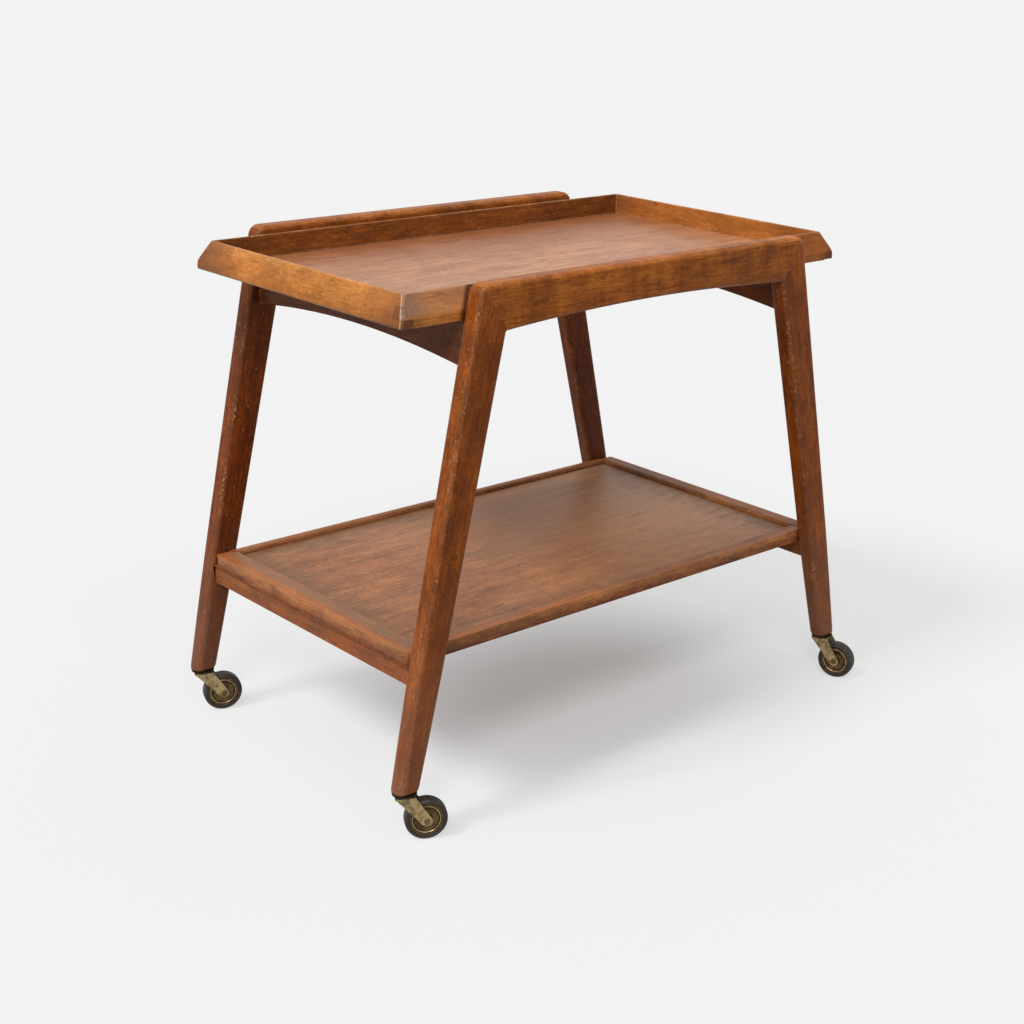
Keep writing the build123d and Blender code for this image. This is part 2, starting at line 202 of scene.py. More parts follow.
def lamp(name, strength, azimuth, height):
    """A lamp so far off that it lights the whole floor evenly."""
    data = bpy.data.lights.new(name, "SUN")
    data.energy = strength
    data.angle = radians(lamp_size)
    made = bpy.data.objects.new(name, data)
    made.rotation_euler = away(azimuth, height).to_track_quat("Z", "Y").to_euler()
    scene.collection.objects.link(made)


for name, (strength, azimuth, height) in lamps.items():
    lamp(name, strength, azimuth, height)

view_azimuth, view_height, view_roll = -43.14, 18.83, 1.46
view_distance = 2.2593
view_focal_length = 60.67      # millimetres, on a 36 mm sensor
view_shift = (-0.0908, -0.0046)
view_aim = (0.1051, -0.0483)   # from the cart's middle to what it looks at, to its right and up
cart_middle = Vector((0, 0, 0.315))

back = away(view_azimuth, view_height)
level = Vector((0, 0, 1)).cross(back).normalized()
upright = back.cross(level)
roll = radians(view_roll)
right = level * cos(roll) + upright * sin(roll)
up = upright * cos(roll) - level * sin(roll)
eye = cart_middle + right * view_aim[0] + up * view_aim[1] + back * view_distance
camera = bpy.data.objects.new("camera", bpy.data.cameras.new("camera"))
camera.data.lens = view_focal_length
camera.data.shift_x, camera.data.shift_y = view_shift
camera.matrix_world = Matrix.Translation(eye) @ Matrix((right, up, back)).transposed().to_4x4()
scene.collection.objects.link(camera)
scene.camera = camera


# ------------------------
# Side frames. Each is two splayed legs and an arched rail of solid teak, mitred at the corners and
# shaped as one, with rounded edges. The legs grow rounder below the shelf. Years of hands and oil
# have darkened them, and worn the edges pale.

def unit(vector):
    return vector / np.linalg.norm(vector)


def rounded_corner(before, corner, after, radius, count):
    """The arc that eases a corner between two straight runs.

    It touches both runs at radius / tan(half the angle between them) from the corner.
    """
    a, b = unit(before - corner), unit(after - corner)
    half = np.arccos(a @ b) / 2
    centre = corner + unit(a + b) * radius / np.sin(half)
    start = corner + a * radius / np.tan(half) - centre
    end = corner + b * radius / np.tan(half) - centre
    turn = np.linspace(0, 1, count)[:, None]
    swing = pi - 2 * half
    arc = np.sin((1 - turn) * swing) * start + np.sin(turn * swing) * end
    return centre + arc / np.sin(swing)


def evenly(points, count):
    """Points spaced evenly along a line of points."""
    run = np.append(0, np.cumsum(np.linalg.norm(np.diff(points, axis=0), axis=1)))
    places = np.linspace(0, run[-1], count)
    return np.stack([np.interp(places, run, points[:, i]) for i in range(points.shape[1])], axis=1)


def rounded_section(width, depth, radius, side_points=7, corner_points=9):
    """Loops round rounded rectangles, one row for each width, depth and radius.

    Each corner is a quarter turn about its own centre, and each side is straight between two of
    them. The last result is 1 at the middle of a corner and falls to 0 where its side begins.
    """
    turn = np.linspace(0, pi / 2, corner_points)
    radii = np.broadcast_to(radius, (len(width), 4))
    arcs = []
    for quarter in range(4):
        angle = turn + quarter * pi / 2
        toward = np.sign((cos(quarter * pi / 2 + pi / 4), sin(quarter * pi / 2 + pi / 4)))
        rounding = radii[:, quarter:quarter + 1]
        x = toward[0] * (width / 2 - rounding) + rounding * np.cos(angle)
        y = toward[1] * (depth / 2 - rounding) + rounding * np.sin(angle)
        arcs.append(np.stack([x, y, np.sin(2 * turn) + 0 * x], axis=-1))
    loop = []
    share = (1 - np.cos(np.linspace(0, pi, side_points + 2)))[1:-1, None] / 2
    for here, there in zip(arcs, arcs[1:] + arcs[:1]):
        loop += [here, here[:, -1:] * (1 - share) + there[:, :1] * share]
    loop = np.concatenate(loop, axis=1)
    return loop[..., 0], loop[..., 1], loop[..., 2]


def mesh_piece(name, points, faces, attributes, sharp_angle):
    """A smooth mesh with a number or a vector for each point, sharp above that angle."""
    mesh = bpy.data.meshes.new(name)
    mesh.from_pydata(points.tolist(), [], faces.tolist())
    for key, value in attributes.items():
        kind, field = ("FLOAT_VECTOR", "vector") if value.shape[1] == 3 else ("FLOAT", "value")
        made = mesh.attributes.new(key, kind, "POINT")
        made.data.foreach_set(field, value.astype(np.float32).ravel())
    mesh.shade_smooth()
    mesh.set_sharp_from_angle(angle=radians(sharp_angle))
    piece = bpy.data.objects.new(name, mesh)
    scene.collection.objects.link(piece)
    return piece


def skin(name, rows, attributes, end_attributes=None):
    """A closed skin over rows of points, each row a loop.

    Neighbouring rows are joined by four-sided faces. Each end is closed by rungs between the two
    halves of its loop, on vertices of its own. Attributes are arrays with a number or a vector for
    each point; those of the ends may differ.
    """
    count, around = rows.shape[:2]
    index = np.arange(count * around).reshape(count, around)
    after = np.roll(index, -1, axis=1)
    sides = np.stack([index[:-1], after[:-1], after[1:], index[1:]], axis=-1).reshape(-1, 4)
    rung = np.arange(around // 2 - 1)
    ladder = np.stack([rung, rung + 1, around - 2 - rung, around - 1 - rung], axis=-1)
    first = ladder[:, ::-1] + count * around
    last = ladder + (count + 1) * around
    points = np.concatenate([rows.reshape(-1, 3), rows[0], rows[-1]])
    whole = {}
    for key, value in attributes.items():
        ends = (end_attributes or {}).get(key, value[[0, -1]])
        ends = np.broadcast_to(ends, value[[0, -1]].shape)
        whole[key] = np.concatenate([value.reshape(count * around, -1),
                                     ends.reshape(2 * around, -1)])
    return mesh_piece(name, points, np.concatenate([sides, first, last]), whole, 40)


def grain_place(points, along, seed):
    """Where points lie in their board: along its grain, across it, and into it.

    Each board is cut from another place in the log, which the seed settles.
    """
    along = unit(np.array(along, float))
    aside = unit(np.cross((0, 1, 0), along)) if abs(along[1]) < 0.5 else np.array((1.0, 0, 0))
    start = np.random.default_rng(seed).uniform(-3, 3, 3)
    return points @ np.stack([along, aside, np.cross(along, aside)], axis=1) + start


def noise(nodes, place, stretch, detail=2.0, roughness=0.5):
    """Cloudy numbers about 0.5, with that many clouds to the metre along each way."""
    scaled = nodes.add("VectorMath", {"operation": "MULTIPLY"}, {0: place, 1: stretch})
    return nodes.add("TexNoise", {}, {"Vector": scaled, "Scale": 1.0, "Detail": detail,
                                      "Roughness": roughness})


def split(nodes, place):
    """The three parts of a place, each as a number."""
    whole = nodes.add("SeparateXYZ", {}, {"Vector": place})
    return [Signal(nodes, part) for part in whole.socket.node.outputs]


def blend(nodes, share, first, second, mode="MIX"):
    """The first colour, and the second by that share."""
    return nodes.add("Mix", {"data_type": "RGBA", "blend_type": mode},
                     {0: share, 6: first, 7: second}, 2)


def attribute(nodes, name, out="Fac"):
    return nodes.add("Attribute", {"attribute_name": name}, {}, out)


def show(nodes, colour, rough, height, strength, depth, more):
    """End a material: its colour and roughness, and its height as bumps of that depth."""
    bump = nodes.add("Bump", {}, {"Strength": strength, "Distance": depth, "Height": height})
    surface = nodes.add("BsdfPrincipled", {},
                        {"Base Color": colour, "Roughness": rough, "Normal": bump, **more})
    nodes.add("OutputMaterial", {}, {"Surface": surface})


def teak(name, dark, body, light, worn, place=None, toned=False, dress=None, ripple=0.0,
         wear=1.0, gloss=0.42, polish=0.12, blotches=1.0, contrast=1.0, lines=0.55):
    """Oiled teak as a solid. Short fibres and pores run along the board, with broken lines of dark
    grain among them. Ripples may cross it, clouds of old oil lie over it, edges are worn pale, and
    cut ends drink oil and go dark.

    Place gives where a point lies in its board. Without it the piece carries that itself, with
    its edges and cut ends, and how much paler its figure is where it is toned. Dress lays more
    on the colour. Gloss is the mean roughness, and polish the specular level.
    """
    made, nodes = new_material(name)
    shaped = place is None
    place = attribute(nodes, "board", "Vector") if shaped else place(nodes)
    drift = noise(nodes, place, (2.5, 18, 18), detail=1.0)
    bent = nodes.add("VectorMath", {"operation": "MULTIPLY_ADD"},
                     {0: drift, 1: (0.0, 0.014, 0.014), 2: place})
    strokes = noise(nodes, bent, (34, 450, 450), detail=3.0, roughness=0.62)
    bands = noise(nodes, bent, (4.5, 70, 70), detail=3.0, roughness=0.55)
    mottle = noise(nodes, place, (120, 190, 190), detail=4.0, roughness=0.68)
    cloud = noise(nodes, place, (7, 13, 13), detail=4.0, roughness=0.6)
    fibre = noise(nodes, place, (190, 900, 900), roughness=0.7)
    blotch = noise(nodes, place, (24, 38, 38), detail=4.0, roughness=0.65)
    pores = noise(nodes, place, (85, 1300, 1300), detail=1.0).between(0.58, 0.7)
    rings = noise(nodes, bent, (2.2, 48, 48), detail=1.0)
    broken = noise(nodes, place, (16, 60, 60), detail=1.0).between(0.5, 0.62)
    line = (1 - abs(rings - 0.5).between(0.0, 0.016)) * broken
    spots = noise(nodes, place, (60, 110, 110)).between(0.68, 0.76)
    chips = noise(nodes, place, (190, 330, 330), detail=1.0).between(0.735, 0.79)
    figure = strokes * 0.3 + bands * 0.16 + mottle * 0.18 + fibre * 0.24 + blotch * 0.12
    figure = (figure - 0.5) * (2.5 * contrast) + 0.5
    if ripple:
        figure = figure + (noise(nodes, place, (80, 8, 8), detail=3.0) - 0.5) * ripple
    if toned:
        figure = figure + attribute(nodes, "tone")
    colour = nodes.add("ValToRGB", {"stops": [(0.12, dark), (0.5, body), (0.88, light)]},
                       {"Fac": figure})
    shade = (cloud * 0.55 + blotch * 0.45).between(0.36, 0.64) * (0.46 * blotches)
    shade = shade + (1.0 - 0.26 * blotches)
    grey = nodes.add("CombineColor", {}, {0: shade, 1: shade, 2: shade})
    colour = blend(nodes, 1.0, colour, grey, "MULTIPLY")
    colour = blend(nodes, line * lines, colour, dark)
    colour = blend(nodes, pores * 0.4, colour, dark)
    colour = blend(nodes, spots * 0.5 * blotches, colour, dark)
    colour = blend(nodes, chips * 0.5 * wear, colour, worn)
    if shaped:
        colour = blend(nodes, attribute(nodes, "end") * 0.75, colour, dark)
        rim = attribute(nodes, "edge")
        patch = noise(nodes, place, (22, 70, 70)).between(0.42, 0.66)
        grain = noise(nodes, place, (300, 620, 620), roughness=0.7).between(0.53, 0.7)
        flecks = grain * patch * rim.between(0.15, 0.9)
        colour = blend(nodes, (flecks * 0.75 + rim * 0.06) * wear, colour, worn)
    if dress:
        colour = dress(nodes, colour)
    rough = strokes * 0.16 + cloud * 0.2 + (gloss - 0.16)
    height = strokes * 0.4 + fibre * 0.4 + mottle * 0.2 - pores * 0.5
    show(nodes, colour, rough, height, 0.3, 0.0003, {"Specular IOR Level": polish})
    return made


floor_dust = paint(142, 96, 74)
dusty_from, dusty_to = 0.05, 0.34      # heights between which the dust thins out


def dusty_feet(nodes, colour):
    """Lay dust and scuffs on the legs' lower ends."""
    here = object_place(nodes)
    _, _, height = split(nodes, here)
    scuff = noise(nodes, here, (70, 70, 22), detail=3.0).between(0.3, 0.7)
    low = 1 - height.between(dusty_from, dusty_to)
    return blend(nodes, low * (scuff * 0.3 + 0.35), colour, floor_dust)


frame_wear = paint(226, 164, 118)
frame_teak = teak("frame_teak", paint(84, 33, 9), paint(149, 75, 21), paint(194, 114, 43),
                  frame_wear, toned=True, dress=dusty_feet, wear=1.6, gloss=0.38, polish=0.13)
arched_rail_teak = teak("arched_rail_teak", paint(94, 42, 12), paint(163, 89, 29),
                        paint(200, 121, 48), frame_wear, gloss=0.4, polish=0.14, ripple=0.6)

rail_low, rail_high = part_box("front_side_rail")
frame_top, foot_level = rail_high.z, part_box("front_right_leg")[0].z
frame_outer, frame_inner = -rail_low.y, -rail_high.y
frame_middle = (frame_outer + frame_inner) / 2
top_half_length = 0.258
foot_half_length = 0.3776
leg_width_top, leg_width_foot = 0.0475, 0.032
rail_depth_end, rail_depth_middle = 0.055, 0.046
top_corner_radius, inner_corner_radius = 0.014, 0.003
edge_radius, foot_edge_radius = 0.006, 0.0112
round_below = 0.24             # the height under which a leg grows rounder
foot_rounding = 0.0053
top_paleness, top_paleness_reach = 0.14, 0.045      # the frame is made paler near its top
edge_darker = 0.16
# the back legs are painted darker than the front ones: painted shade, as the tray keeps the lamps off
# them
front_leg_tone, back_leg_painted_shade = -0.03, -0.2
arc_half, corner_steps, leg_steps, foot_steps, arch_steps = 8, 16, 59, 7, 40    # points of each
leg_run = (foot_half_length - top_half_length) / (frame_top - foot_level)
leg_taper = (leg_width_top - leg_width_foot) / (frame_top - foot_level)


def leg_outer(z):
    return top_half_length + leg_run * (frame_top - z)


def leg_inner(z):
    return leg_outer(z) - leg_width_top + leg_taper * (frame_top - z)


def frame_corner():
    """The right-hand corner of a side frame as pairs of outer and inner points, in two runs.

    The first turns from where the inner rounding starts to the mitre, and the second on to where
    the rail is straight. Points are X and Z. Gives the inner corner's X and the arch's drop.
    """
    bend_z = frame_top - rail_depth_end
    outer = np.array((top_half_length, frame_top))
    inner = np.array((leg_inner(bend_z), bend_z))
    arch_drop = rail_depth_end - rail_depth_middle
    arch_slope = 2 * arch_drop / inner[0]
    outer_arc = rounded_corner(np.array((leg_outer(0), 0.0)), outer, np.array((0, frame_top)),
                               top_corner_radius, 2 * arc_half + 1)
    inner_arc = rounded_corner(np.array((leg_inner(0), 0.0)), inner,
                               inner + np.array((-0.1, 0.1 * arch_slope)), inner_corner_radius,
                               2 * arc_half + 1)
    start_z, end_x = inner_arc[0, 1], inner_arc[-1, 0]
    turn_outer = np.vstack([(leg_outer(start_z), start_z), outer_arc[:arc_half + 1]])
    onward_outer = np.vstack([outer_arc[arc_half:], (end_x, frame_top)])
    return ((evenly(turn_outer, corner_steps), evenly(inner_arc[:arc_half + 1], corner_steps)),
            (evenly(onward_outer, corner_steps), evenly(inner_arc[arc_half:], corner_steps)),
            inner[0], arch_drop)


def swept(outer, inner, radius, inset=0.0):
    """A rounded section carried along pairs of outer and inner points of the front side frame.

    Each section lies in the plane of its pair and the depth. Gives its points and its edges.
    """
    middle = (outer + inner) / 2
    reach = outer - inner
    width = np.linalg.norm(reach, axis=1, keepdims=True)
    depth = frame_outer - frame_inner - 2 * inset
    u, v, edge = rounded_section(width - 2 * inset, depth + 0 * width, radius + 0 * width)
    x = middle[:, :1] + reach[:, :1] / width * u
    z = middle[:, 1:] + reach[:, 1:] / width * u
    return np.stack([x, v - frame_middle, z], axis=-1), edge


def build_frame_piece(node, rows, edge, along, seed, finish, tone=0.0):
    """A leg or side rail from its rows, paler near the top, with edges darker under their wear."""
    near_top_paleness = top_paleness * np.exp(-((frame_top - rows[..., 2]) / top_paleness_reach) ** 2)
    attributes = {"board": grain_place(rows, along, seed), "edge": edge, "end": 0 * edge,
                  "tone": tone + near_top_paleness - edge_darker * edge}
    piece = skin(node + "_shaped", rows, attributes, {"end": 1.0})
    piece.data.materials.append(finish)
    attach(piece, "frame")
    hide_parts(node)


def mirrored(rows, edge, side, depth):
    """A front right piece's rows and edges for another corner; a single flip turns the loops."""
    rows = rows * np.array((side, depth, 1))
    return (rows, edge) if side * depth > 0 else (rows[:, ::-1], edge[:, ::-1])


(turn_outer, turn_inner), (onward_outer, onward_inner), corner_x, arch_drop = frame_corner()
rounding = np.linspace(pi / 2, 0, foot_steps + 1)[:-1]
foot_z = foot_level + foot_rounding * (1 - np.sin(rounding))
straight_z = np.linspace(foot_level + foot_rounding, turn_inner[0, 1], leg_steps + 1)[:-1]
leg_z = np.concatenate([foot_z, straight_z])
leg_inset = np.concatenate([foot_rounding * (1 - np.cos(rounding)),
                            np.zeros(leg_steps + corner_steps)])[:, None]
outer_line = np.vstack([np.stack([leg_outer(leg_z), leg_z], 1), turn_outer])
inner_line = np.vstack([np.stack([leg_inner(leg_z), leg_z], 1), turn_inner])
low_share = np.clip((round_below - outer_line[:, 1:]) / (round_below - foot_level), 0, 1)
leg_radius = edge_radius + (foot_edge_radius - edge_radius) * low_share ** 1.5
leg_rows, leg_edge = swept(outer_line, inner_line, leg_radius - leg_inset, leg_inset)
corners = {"front_left": (-1, 1), "front_right": (1, 1),
           "back_left": (-1, -1), "back_right": (1, -1)}
for seed, (corner, (side, depth)) in enumerate(corners.items()):
    rows, edge = mirrored(leg_rows, leg_edge, side, depth)
    build_frame_piece(corner + "_leg", rows, edge, (leg_run * side, 0, -1), seed + 11,
                      frame_teak, front_leg_tone if depth > 0 else back_leg_painted_shade)

span_x = np.linspace(onward_inner[-1, 0], 0, arch_steps)[1:]
arch_z = frame_top - rail_depth_middle - arch_drop * (span_x / corner_x) ** 2
half_outer = np.vstack([onward_outer, np.stack([span_x, 0 * span_x + frame_top], 1)])
half_inner = np.vstack([onward_inner, np.stack([span_x, arch_z], 1)])
rail_outer = np.vstack([half_outer, half_outer[-2::-1] * (-1, 1)])
rail_inner = np.vstack([half_inner, half_inner[-2::-1] * (-1, 1)])
rail_rows, rail_edge = swept(rail_outer, rail_inner, edge_radius)
for seed, (name, depth) in enumerate({"front": 1, "back": -1}.items()):
    rows, edge = mirrored(rail_rows, rail_edge, 1, depth)
    build_frame_piece(name + "_side_rail", rows, edge, (1, 0, 0), seed + 31, arched_rail_teak)


# ------------------------
# Cross rails. Two arched rails of the same teak are tenoned between the legs and carry the tray;
# two straight ones lower down carry the shelf. Their lower edges are eased. The arched ones are
# of a darker teak, and their edges are whole.

def shoulder(distance, radius):
    """How far in a rounded edge lies, at a distance from the end that it rounds."""
    left = np.clip(radius - distance, 0, radius)
    return radius - np.sqrt(radius ** 2 - left ** 2)


def bar(name, node, outer, inner, low, high, ends, radii, finish, seed, turn=False, painted_fall=0.0):
    """A straight-grained bar along Y, or along X where it is turned, of any section on the way.

    Its sides stand at outer and inner and its faces at low and high, at each of its ends' places.
    The radii are those of its four long edges: inner low, outer low, outer high, inner high. Its
    outer side carries painted light and shade by the painted fall: lighter at the top, darker
    downwards.
    """
    outer, inner, low, high = (place + 0 * ends for place in (outer, inner, low, high))
    width, depth = (outer - inner)[:, None], (high - low)[:, None]
    u, v, edge = rounded_section(width, depth, np.array(radii))
    across = (outer + inner)[:, None] / 2 + u
    height = (low + high)[:, None] / 2 + v
    along = ends[:, None] + 0 * u
    rows = np.stack([along, across, height] if turn else [across, along, height], axis=-1)
    on_side = np.clip(2 * u / width - 0.8, 0, 0.2) * 5
    tone = painted_fall * on_side * (2 * v / depth)
    if np.sign(outer[0] - inner[0]) * (-1 if turn else 1) > 0:
        rows, edge, tone = rows[::-1], edge[::-1], tone[::-1]
    board = grain_place(rows, (1, 0, 0) if turn else (0, 1, 0), seed)
    attributes = {"board": board, "edge": edge, "end": 0 * edge, "tone": tone}
    piece = skin(name, rows, attributes, {"end": 1.0})
    piece.data.materials.append(finish)
    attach(piece, "frame")
    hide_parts(node)


rail_teak = teak("rail_teak", paint(70, 34, 16), paint(124, 68, 34), paint(154, 94, 50),
                 paint(180, 120, 78), wear=0.5)
cross_rail_thickness = 0.020
cross_rail_easing = 0.003
cross_rail_arris = 0.0004
top_rail_low, top_rail_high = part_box("right_top_cross_rail")
top_rail_rise = 0.014          # how much higher the arch is at its middle than at the legs
shelf_rail_low, shelf_rail_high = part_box("right_shelf_rail")
rail_ends = np.linspace(-frame_inner, frame_inner, 48)
rail_radii = (cross_rail_easing, cross_rail_easing, cross_rail_arris, cross_rail_arris)
for seed, (name, side) in enumerate({"left": -1, "right": 1}.items()):
    arch = top_rail_low.z + top_rail_rise * (1 - (rail_ends / frame_inner) ** 2)
    bar(name + "_top_rail_shaped", name + "_top_cross_rail", side * top_rail_high.x,
        side * (top_rail_high.x - cross_rail_thickness), arch, top_rail_high.z, rail_ends,
        rail_radii, rail_teak, seed + 41)
    bar(name + "_shelf_rail_shaped", name + "_shelf_rail", side * shelf_rail_high.x,
        side * (shelf_rail_high.x - cross_rail_thickness), shelf_rail_low.z, shelf_rail_high.z,
        rail_ends, rail_radii, frame_teak, seed + 43)


# ------------------------
# Lower shelf. A panel of teak veneer lies in a groove round four solid lips. The wide end lips run
# the whole depth with their outer corners rounded, and the narrow side lips lie between them.

shelf_low, shelf_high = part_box("shelf_right_lip")
# a painted highlight for the lips' rounded outer edges, and the dusty colour of their tops
lip_edge_highlight, dull_top = paint(190, 110, 54), paint(150, 114, 86)


def dressed_lip(nodes, colour):
    """Paint a highlight along the lips' rounded outer edges, and let dust dull their tops inside them.
    """
    here = object_place(nodes)
    x, y, z = split(nodes, here)
    soft = noise(nodes, here, (22, 22, 22), detail=5.0, roughness=0.7)
    inward = (shelf_high.x - abs(x)).smaller(shelf_high.y - abs(y)) + (soft - 0.5) * 0.007
    on_top = z.between(shelf_high.z - 0.0025, shelf_high.z - 0.001)
    # painted highlight along the rounding of the lips' outer edges
    colour = blend(nodes, (1 - inward.between(0.007, 0.012)) * on_top * 0.4, colour, lip_edge_highlight)
    share = (0.5 - x * 0.9).between(0.0, 1.0) * 0.6
    return blend(nodes, inward.between(0.008, 0.013) * on_top * share, colour, dull_top)


lip_teak = teak("lip_teak", paint(96, 48, 22), paint(160, 98, 56), paint(204, 138, 82),
                paint(220, 166, 124), toned=True, dress=dressed_lip, wear=0.05, polish=0.2)
side_lip_low, side_lip_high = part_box("shelf_front_lip")
shelf_corner_radius = 0.008
lip_edge_radius, lip_inner_radius = 0.0045, 0.0008
# painted light and shade on the lips' outer sides: lighter at the top, darker towards the bottom
lip_painted_shade = 0.3
lip_radii = (lip_inner_radius, lip_edge_radius, lip_edge_radius, lip_inner_radius)
turned_in = shelf_corner_radius * (1 - np.cos(np.linspace(0, pi / 2, 12)))
half_run = np.concatenate([turned_in, np.linspace(shelf_corner_radius, shelf_high.y, 30)[1:]])
from_end = np.concatenate([half_run, half_run[-2::-1]])
lip_ends = np.concatenate([half_run - shelf_high.y, shelf_high.y - half_run[-2::-1]])
lip_drop = shoulder(from_end, lip_edge_radius)
for seed, (name, side) in enumerate({"left": -1, "right": 1}.items()):
    outer = shelf_high.x - shoulder(from_end, shelf_corner_radius)
    bar("shelf_%s_lip_shaped" % name, "shelf_%s_lip" % name, side * outer,
        side * shelf_low.x, shelf_low.z + lip_drop, shelf_high.z - lip_drop, lip_ends,
        lip_radii, lip_teak, seed + 51, painted_fall=lip_painted_shade)
side_ends = np.linspace(side_lip_low.x, side_lip_high.x, 60)
for seed, (name, side) in enumerate({"front": -1, "back": 1}.items()):
    bar("shelf_%s_lip_shaped" % name, "shelf_%s_lip" % name, -side * side_lip_low.y,
        -side * side_lip_high.y, side_lip_low.z, side_lip_high.z, side_ends, lip_radii, lip_teak,
        seed + 53, turn=True, painted_fall=lip_painted_shade)


def in_place(seed):
    """Where a piece lies in its board, for a board along X that has no attributes of its own."""
    start = np.random.default_rng(seed).uniform(-3, 3, 3)

    def place(nodes):
        return nodes.add("VectorMath", {"operation": "ADD"},
                         {0: object_place(nodes), 1: start})
    return place


def painted_light_and_stains(nodes, colour, from_place, to_place, painted_light_colour, strength, stain, stain_share):
    """Veneer blended more and more towards a painted light colour from one place to another.

    Drink and polish have stained it too, in thin streaks and in a few broad clouds.
    """
    here = object_place(nodes)
    way = np.array(to_place) - np.array(from_place)
    run = nodes.add("VectorMath", {"operation": "DOT_PRODUCT"},
                    {0: here, 1: tuple(way / (way @ way))}, "Value")
    share = (run - float(np.array(from_place) @ way / (way @ way))).between(0.0, 1.0)
    # painted light: the given colour grows along the way
    colour = blend(nodes, share * strength, colour, painted_light_colour)
    streaks = noise(nodes, here, (8, 210, 210), detail=3.0, roughness=0.62).between(0.54, 0.66)
    colour = blend(nodes, streaks * 0.52, colour, stain)
    clouds = noise(nodes, here, (5.0, 7.0, 7.0), detail=5.0, roughness=0.62)
    return blend(nodes, clouds.between(0.48, 0.68) * stain_share, colour, stain)


grime_and_shadow_shade, warm_shade = paint(92, 70, 48), paint(216, 138, 66)


def dressed_shelf(nodes, colour):
    """Paint light on the shelf, paler towards its back right corner and warmer in its middle; lay grime
    and painted shadow by its lips.
    """
    # painted light: the shelf paler towards its back right corner, with stains
    colour = painted_light_and_stains(nodes, colour, (-0.05, -0.1, 0), (0.25, 0.2, 0), paint(236, 184, 144), 0.7,
                   paint(104, 78, 58), 0.26)
    here = object_place(nodes)
    x, y, _ = split(nodes, here)
    # painted light: a warmer, paler band across the middle
    warm = 1 - abs(x - 0.06).between(0.04, 0.22)
    colour = blend(nodes, warm * 0.26, colour, warm_shade)
    from_end, from_side = side_lip_high.x - abs(x), -side_lip_high.y - abs(y)
    from_edge = from_end.smaller(from_side)
    kept_off = from_end.smaller(from_side + (x + 0.08).larger(0.0) * 0.25)
    soft = noise(nodes, here, (45, 70, 70), detail=4.0, roughness=0.65)
    # grime near the lips, with the lips' painted shadow beside them
    grime_and_lip_shadow = (1 - (kept_off + (soft - 0.5) * 0.12).between(0.0, 0.06)) * 0.5
    # a thin dark line along the lips: painted shadow and grime
    line = (1 - from_edge.between(0.0005, 0.0022)) * 0.6
    return blend(nodes, grime_and_lip_shadow.larger(line), colour, grime_and_shadow_shade)


shelf_veneer = teak("shelf_veneer", paint(108, 64, 40), paint(170, 108, 66), paint(198, 138, 92),
                    paint(206, 158, 124), place=in_place(61), dress=dressed_shelf, gloss=0.4,
                    polish=0.22, contrast=1.3, blotches=0.5, lines=0.8)
frame["nodes"]["shelf_panel"].material_slots[0].material = shelf_veneer


# ------------------------
# Tray. It lifts out of the cart. Four walls of golden teak stand round a panel of paler veneer:
# each has an upright strip at its foot and leans in above it to a thin top. At the corners a
# finger of the long wall passes through the end wall, and the rest of the end wall's end grain
# shows beside it.

tray_low, tray_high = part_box("tray_front_wall")
tray_top, tray_bottom = tray_high.z, tray_low.z
tray_half_length, tray_half_depth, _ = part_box("tray_right_end")[1]
panel_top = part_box("tray_panel")[1].z - tray_bottom
strip_height, wall_lean, wall_top = 0.0105, 0.0135, 0.0035
wall_thickness = wall_lean + wall_top
wall_bottom_radius, wall_top_radius, wall_corner_radius = 0.0012, 0.0011, 0.003
wall_arris_softness = 0.0012
end_bottom_radius, end_arris_softness = 0.003, 0.005
finger_top = 0.023             # above the tray's underside
seam_half_width = 0.0003
tray_inner_length = tray_half_length - wall_thickness
tray_inner_depth = tray_half_depth - wall_thickness
tray_height = tray_top - tray_bottom


def wall_levels(bottom_radius):
    """Heights above the tray's underside at which a wall's section has its points."""
    start, end = bottom_radius, tray_height - wall_top_radius
    bottom = start * (1 - np.cos(np.linspace(0, pi / 2, 6)))
    top = end + wall_top_radius * np.sin(np.linspace(0, pi / 2, 7))
    seams = [at + step * seam_half_width
             for at in (strip_height, finger_top) for step in (-1, 0, 1)]
    body = np.concatenate([np.linspace(start, end, 18)[1:-1], seams])
    return np.concatenate([bottom, np.sort(body), top])


def wall_section(levels, bottom_radius, softness):
    """How far in a wall's outer and inner faces lie at those heights.

    The outer face is upright, then leans in; a hyperbola eases it from one to the other.
    """
    above = levels - strip_height
    eased = (above + np.sqrt(above ** 2 + softness ** 2)) / 2
    slope = wall_lean / (tray_height - strip_height)
    rounding = shoulder(tray_height - levels, wall_top_radius)
    outer = eased * slope + rounding + shoulder(levels, bottom_radius)
    return outer, wall_thickness - rounding - shoulder(levels, wall_bottom_radius / 2)


stain_shade, end_grain_and_painted_shade, seam_and_leg_shadow = paint(106, 74, 66), paint(98, 54, 38), paint(60, 28, 13)
end_board_dark_shade, right_end_painted_shade, inside_shade = paint(122, 70, 42), paint(132, 64, 20), paint(132, 94, 62)
facet_painted_sheen, arris_wear_and_highlight, dust_shade = paint(196, 154, 124), paint(236, 212, 190), paint(214, 182, 154)
second_arris_place = 0.0038    # how far from the tray's end


